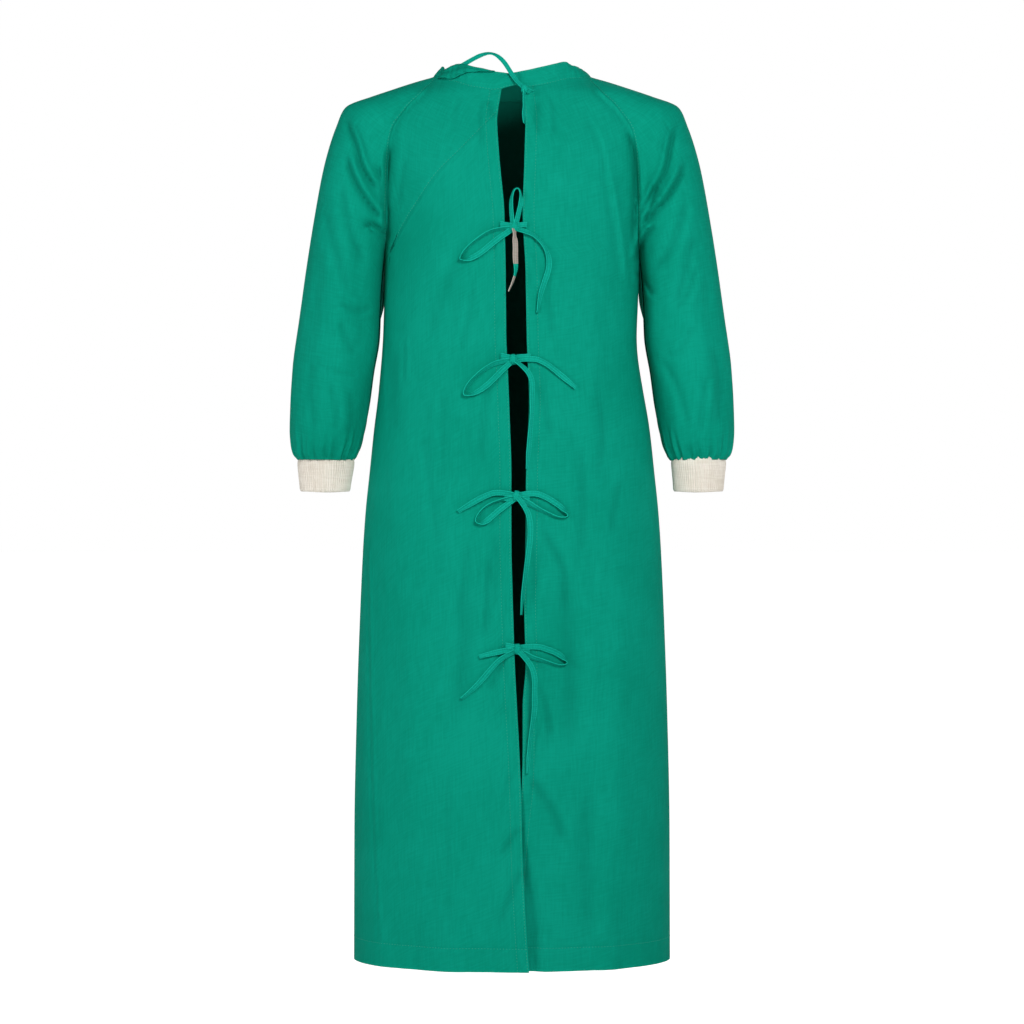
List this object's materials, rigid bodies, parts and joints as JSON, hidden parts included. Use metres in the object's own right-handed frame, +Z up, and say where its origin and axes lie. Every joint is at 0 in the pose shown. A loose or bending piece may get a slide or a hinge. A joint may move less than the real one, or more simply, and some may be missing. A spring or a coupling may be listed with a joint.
{
  "type": "patient gown",
  "caption": "Long-sleeved green cloth gown with rib-knit cuffs and a stand collar, open down the back and closed with tied tapes.",
  "frame": {"origin": "middle of the neck seam, between the two sides of the neck, where the gown hangs from the wearer's shoulders", "axes": "+Z up to the collar, -Y to the open back, +Y to the front panel, -X to the wearer's left sleeve"},
  "size_m": [0.64, 0.2657, 1.298],
  "materials": {
    "gown_cloth": "plain-woven poly-cotton, matt with a faint sheen",
    "tape": "folded and stitched tape of the gown's cloth",
    "rib_knit": "cream rib knit"
  },
  "bodies": {
    "gown": {"front_hem": "gown_cloth", "front_panel": "gown_cloth", "left_back_panel": "gown_cloth", "left_back_yoke": "gown_cloth", "left_edge_facing": "gown_cloth", "left_shoulder": "gown_cloth", "neck_band": "gown_cloth", "right_back_panel": "gown_cloth", "right_edge_facing": "gown_cloth", "right_shoulder": "gown_cloth", "tie_1_knot": "tape", "tie_1_left_tape": "tape", "tie_1_right_tape": "tape", "tie_2_knot": "tape", "tie_2_left_tape": "tape", "tie_2_right_tape": "tape", "tie_3_knot": "tape", "tie_3_left_tape": "tape", "tie_3_right_tape": "tape", "tie_4_knot": "tape", "tie_4_left_tape": "tape", "tie_4_right_tape": "tape", "tie_5_knot": "tape", "tie_5_left_tape": "tape", "tie_5_right_tape": "tape"},
    "left_sleeve": {"left_sleeve": "gown_cloth", "left_cuff": "rib_knit"},
    "right_sleeve": {"right_sleeve": "gown_cloth", "right_cuff": "rib_knit"},
    "left_flap": {"left_skirt_flap": "gown_cloth", "left_flap_facing": "gown_cloth", "left_hem": "gown_cloth"},
    "right_flap": {"right_skirt_flap": "gown_cloth", "right_flap_facing": "gown_cloth", "right_hem": "gown_cloth"},
    "tie_1_tail": {"tie_1_tail": "tape"},
    "tie_2_tail": {"tie_2_tail": "tape"},
    "tie_3_tail": {"tie_3_tail": "tape"},
    "tie_4_tail": {"tie_4_tail": "tape"},
    "tie_5_tail": {"tie_5_tail": "tape"}
  },
  "joints": [
    {"name": "left_sleeve_raise", "type": "hinge", "parent": "gown", "child": "left_sleeve", "pos_m": [-0.259, 0, -0.067], "axis": [0, 1, 0], "range_deg": [0, 70]},
    {"name": "right_sleeve_raise", "type": "hinge", "parent": "gown", "child": "right_sleeve", "pos_m": [0.259, 0, -0.067], "axis": [0, -1, 0], "range_deg": [0, 70]},
    {"name": "left_flap_open", "type": "hinge", "parent": "gown", "child": "left_flap", "pos_m": [-0.2285, -0.0006, -1], "axis": [0, 0, -1], "range_deg": [0, 25]},
    {"name": "right_flap_open", "type": "hinge", "parent": "gown", "child": "right_flap", "pos_m": [0.2285, -0.0006, -1], "axis": [0, 0, 1], "range_deg": [0, 25]},
    {"name": "tie_1_tail_swing", "type": "hinge", "parent": "gown", "child": "tie_1_tail", "pos_m": [0.018, -0.09885, -0.027], "axis": [0, 1, 0], "range_deg": [-15, 15]},
    {"name": "tie_2_tail_swing", "type": "hinge", "parent": "gown", "child": "tie_2_tail", "pos_m": [0.003, -0.11635, -0.22], "axis": [0, 1, 0], "range_deg": [-15, 15]},
    {"name": "tie_3_tail_swing", "type": "hinge", "parent": "gown", "child": "tie_3_tail", "pos_m": [0.002, -0.12132, -0.406], "axis": [0, 1, 0], "range_deg": [-15, 15]},
    {"name": "tie_4_tail_swing", "type": "hinge", "parent": "gown", "child": "tie_4_tail", "pos_m": [0.006, -0.12579, -0.598], "axis": [0, 1, 0], "range_deg": [-15, 15]},
    {"name": "tie_5_tail_swing", "type": "hinge", "parent": "gown", "child": "tie_5_tail", "pos_m": [0.008, -0.12975, -0.813], "axis": [0, 1, 0], "range_deg": [-15, 15]}
  ],
  "couplings": [
    {"joint": "right_flap_open", "follows": "left_flap_open", "ratio": 1}
  ]
}
